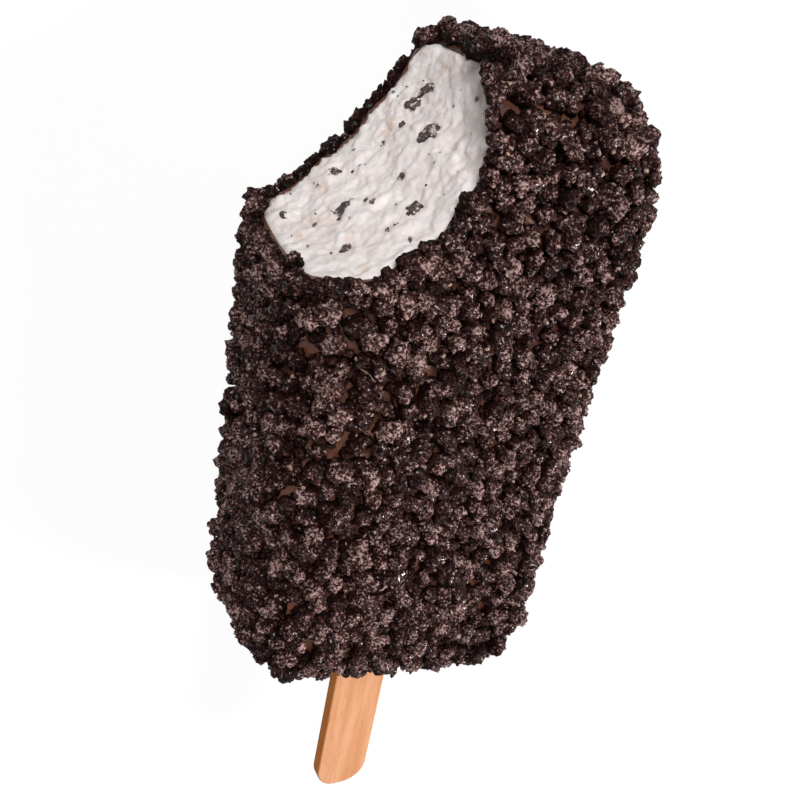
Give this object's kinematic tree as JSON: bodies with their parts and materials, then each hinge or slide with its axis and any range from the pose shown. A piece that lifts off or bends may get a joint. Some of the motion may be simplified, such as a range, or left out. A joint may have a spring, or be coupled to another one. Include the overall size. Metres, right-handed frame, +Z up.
{
  "type": "ice cream bar",
  "caption": "Crumb-coated ice cream bar on a flat wooden stick, lying on its back, with one corner bitten off to show the pale cookie-flecked ice cream.",
  "frame": {"origin": "under the middle of the whole length, stick included, on the surface the bar lies on", "axes": "+Y from the stick to the tip of the bar, +Z up out of the front face, +X across to the right of the front face"},
  "size_m": [0.0502, 0.1199, 0.0297],
  "materials": {
    "ice_cream": "vanilla ice cream, finely lumpy where bitten, with dark cookie pieces and specks",
    "chocolate_coat": "thin reddish-brown chocolate coat, slightly glossy",
    "cookie_crumb": "rough dark cocoa cookie crumbs with small glossy specks",
    "birch": "plain unprinted birch with fine lengthwise grain"
  },
  "bodies": {
    "root": {"ice_cream": "ice_cream", "chocolate_coat": "chocolate_coat", "crumb_crust": "cookie_crumb", "stick": "birch"}
  },
  "joints": []
}
